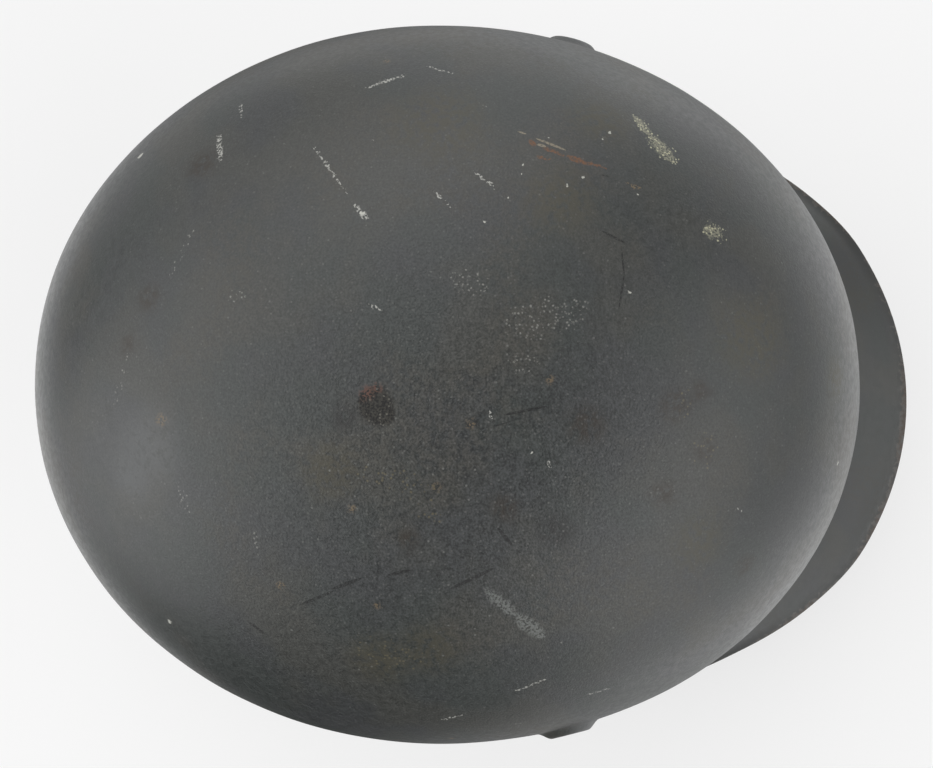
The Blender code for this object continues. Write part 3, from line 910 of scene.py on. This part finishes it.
HEAD_RADIUS, HEAD_RISE = 0.006, 0.0018
SHANK_RADIUS = 0.0023
LEG_LENGTH, LEG_WIDTH, LEG_THICKNESS = 0.0095, 0.0042, 0.0011
LEG_BEND, LEG_SPRING = 0.0006, 0.00014
SEAT = 0.0003
HEAD_STEPS, SHANK_STEPS, LEG_STEPS = 9, 48, 14
# Across a leg and up it, as shares of its half width and of its thickness
LEG_CORNERS = (
    (1, -0.25), (1, -0.75), (0.86, -1), (-0.86, -1),
    (-1, -0.75), (-1, -0.25), (-0.86, 0), (0.86, 0),
)


def leg_line(side, seat_of_legs):
    """Down one leg: its place across the wall, its height and its half width."""
    line = []
    for k in range(LEG_STEPS + 1):
        t = k / LEG_STEPS
        reach = SHANK_RADIUS * 0.35 + t * (SHANK_RADIUS * 0.65 + LEG_LENGTH)
        bend = LEG_BEND * max(0.0, 1 - t / 0.22) ** 2
        spring = LEG_SPRING * math.sin(math.pi * min(1.0, t * 1.25)) * (1 if side > 0 else 0.4)
        end = max(0.0, (t - 0.8) / 0.2)
        width = LEG_WIDTH / 2 * (1 - 0.1 * t) * math.sqrt(max(0.03, 1 - 0.92 * end**2))
        line.append((side * reach, seat_of_legs + bend - spring, width))
    return line


def rivet_mesh(name, seat_of_legs):
    """One closed surface of revolution for head and shank, and two bent legs from its foot."""
    built = bmesh.new()
    sphere = (HEAD_RADIUS**2 + HEAD_RISE**2) / (2 * HEAD_RISE)
    half = math.asin(HEAD_RADIUS / sphere)
    crown = SEAT + HEAD_RISE
    outline = []
    for k in range(1, HEAD_STEPS):
        lean = half * k / HEAD_STEPS
        outline.append((sphere * math.sin(lean), crown - sphere * (1 - math.cos(lean))))
    outline += [
        (HEAD_RADIUS * 0.995, SEAT + 0.00022), (HEAD_RADIUS * 0.985, SEAT + 0.00005),
        (HEAD_RADIUS * 0.95, SEAT), (SHANK_RADIUS, SEAT),
        (SHANK_RADIUS, seat_of_legs - LEG_THICKNESS * 0.5),
    ]
    turns = [2 * math.pi * k / SHANK_STEPS for k in range(SHANK_STEPS)]
    top = built.verts.new((0, 0, crown))
    rings = [
        [built.verts.new((r * math.cos(t), r * math.sin(t), z)) for t in turns]
        for r, z in outline
    ]
    foot = built.verts.new((0, 0, outline[-1][1]))
    for k in range(SHANK_STEPS):
        j = (k + 1) % SHANK_STEPS
        built.faces.new((top, rings[0][k], rings[0][j]))
        for upper, lower in zip(rings, rings[1:]):
            built.faces.new((upper[k], lower[k], lower[j], upper[j]))
        built.faces.new((rings[-1][k], foot, rings[-1][j]))
    for side in (1, -1):
        sections = [
            [built.verts.new((x, a * width, z + up * LEG_THICKNESS)) for a, up in LEG_CORNERS]
            for x, z, width in leg_line(side, seat_of_legs)
        ]
        for one, two in zip(sections, sections[1:]):
            for k in range(len(LEG_CORNERS)):
                j = (k + 1) % len(LEG_CORNERS)
                corners = (one[k], one[j], two[j], two[k])
                built.faces.new(corners if side > 0 else corners[::-1])
        for ring, flip in ((sections[0], side > 0), (sections[-1], side < 0)):
            built.faces.new(ring[::-1] if flip else ring)
    bmesh.ops.recalc_face_normals(built, faces=built.faces)
    made = bpy.data.meshes.new(name)
    built.to_mesh(made)
    built.free()
    made.shade_smooth()
    made.set_sharp_from_angle(angle=math.radians(38))
    return made


RIVET_SLATE, RIVET_PALE = (0.040, 0.043, 0.041, 1), (0.048, 0.049, 0.046, 1)
RIVET_STEEL, RIVET_RUST = (0.12, 0.11, 0.10, 1), (0.07, 0.038, 0.022, 1)

rivet_paint, wire, shader = new_finish("rivet_paint")
place = millimetres(wire)
fine, coarse = place.cloud(0.45, 2.0, 0.65), place.cloud(1.4, 3.0, 0.6)
up = place.split().of("Z")
colour = coarse.between(0.35, 0.65).mix(RIVET_SLATE, RIVET_PALE)
colour = colour.scaled(fine.between(0.3, 0.7, 0.85, 1.15))
worn = up.between(1.2, 2.1, 0.0, 0.5) * coarse.between(0.42, 0.6)
colour = worn.mix(colour, RIVET_STEEL)
rusty = (coarse.between(0.5, 0.68) | up.between(0.9, 0.2)) * fine.between(0.35, 0.6, 0.2, 0.7)
colour = rusty.mix(colour, RIVET_RUST)
join(shader, "Base Color", colour)
join(shader, "Roughness", coarse.between(0.3, 0.7, 0.42, 0.6))
join(shader, "Normal", bumped(wire, 0.00008, fine * 0.6 + coarse))

for name, azimuth, height in RIVET_SPOTS:
    there = wall_frame(azimuth, height)
    span = SHANK_RADIUS + LEG_LENGTH
    turn = math.degrees(span / float(wall_radius(azimuth)))
    ends = [
        there.inverted() @ Vector(dome_by_height(np.array([azimuth + a]), np.array([height]))[0])
        for a in (-turn, turn)
    ]
    legs_under = min(end.z for end in ends) - SHEET - SEAT
    rivet = bpy.data.objects.new("worn_" + name, rivet_mesh(name + "_body", legs_under))
    rivet.matrix_world = there
    rivet.data.materials.append(rivet_paint)
    bpy.context.scene.collection.objects.link(rivet)
    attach(rivet, "root")
    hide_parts(name)


# The helmet stands on a sheet of white paper, in the soft light of a bright room, and is
# photographed from just above its crown.

PAPER_GREY, PAPER_GLOW, WALL_GLOW = 0.28, 0.645, 0.88

floor_mesh = bpy.data.meshes.new("white_ground")
floor_mesh.from_pydata([(-3, -3, 0), (3, -3, 0), (3, 3, 0), (-3, 3, 0)], [], [(0, 1, 2, 3)])
floor = bpy.data.objects.new("white_ground", floor_mesh)
bpy.context.scene.collection.objects.link(floor)
paper, wire, shader = new_finish("white_paper")
shader.inputs["Base Color"].default_value = (PAPER_GREY, PAPER_GREY, PAPER_GREY, 1)
shader.inputs["Roughness"].default_value = 0.9
shader.inputs["Emission Color"].default_value = (1, 1, 1, 1)
shader.inputs["Emission Strength"].default_value = PAPER_GLOW
shader.inputs["Specular IOR Level"].default_value = 0.0
floor_mesh.materials.append(paper)
# The paint's reflections pass the paper and meet the room's low patches instead
floor.visible_glossy = False

world = bpy.data.worlds.new("bright_room")
bpy.context.scene.world = world
world.use_nodes = True
sky = Wire(world.node_tree)
way = sky.node("ShaderNodeTexCoord", output="Generated")
# Windows, white walls and what the paper throws back, each a soft patch: azimuth from +X and
# elevation in degrees, and strength. A patch fades from 6 to 34 degrees off its middle.
PATCH_CORE, PATCH_RIM = 0.9945, 0.829
PATCHES = (
    (0, 55, 1.23), (60, 55, 0.84), (120, 55, 0.73), (0, 28, 1.19), (45, 28, 0.81), (90, 28, 1.45),
    (135, 28, 0.83), (225, 28, 2.05), (270, 28, 1.73), (112, 6, 1.57), (202, 6, 0.38), (337, 6, 0.52),
    (0, -20, 0.92), (45, -20, 0.65), (225, -20, 1.10), (270, -20, 0.41), (315, -20, 1.01),
    (90, -50, 1.52), (210, -50, 0.58), (270, -50, 1.14), (330, -50, 0.34),
)
glow = None
for azimuth, elevation, strength in PATCHES:
    a, e = math.radians(azimuth), math.radians(elevation)
    aim = (math.cos(e) * math.cos(a), math.cos(e) * math.sin(a), math.sin(e))
    patch = way.vector("DOT_PRODUCT", aim).between(PATCH_RIM, PATCH_CORE, 0.0, strength)
    glow = patch if glow is None else glow + patch
# The camera itself sees one plain pale wall all round
seen = sky.node("ShaderNodeLightPath", output="Is Camera Ray")
join(world.node_tree.nodes["Background"], "Strength", seen * (WALL_GLOW - glow) + glow)
world.node_tree.nodes["Background"].inputs["Color"].default_value = (1, 1, 1, 1)

CAMERA_AT = Vector((-0.024485, -0.031574, 0.387622))
CAMERA_AIM = Vector((0.001695, -0.007633, 0.062))
CAMERA_ROLL = 0.012
SENSOR_MM, FOCAL_MM = 36.0, 41.73
lens = bpy.data.cameras.new("camera")
lens.sensor_width = SENSOR_MM
lens.lens = FOCAL_MM
camera = bpy.data.objects.new("camera", lens)
bpy.context.scene.collection.objects.link(camera)
look = (CAMERA_AIM - CAMERA_AT).normalized()
right = look.cross(Vector((1, 0, 0))).normalized()
upright = right.cross(look)
c, s = math.cos(CAMERA_ROLL), math.sin(CAMERA_ROLL)
turned = Matrix((c * right + s * upright, c * upright - s * right, -look)).transposed().to_4x4()
turned.translation = CAMERA_AT
camera.matrix_world = turned
bpy.context.scene.camera = camera
bpy.context.scene.view_settings.view_transform = "Standard"
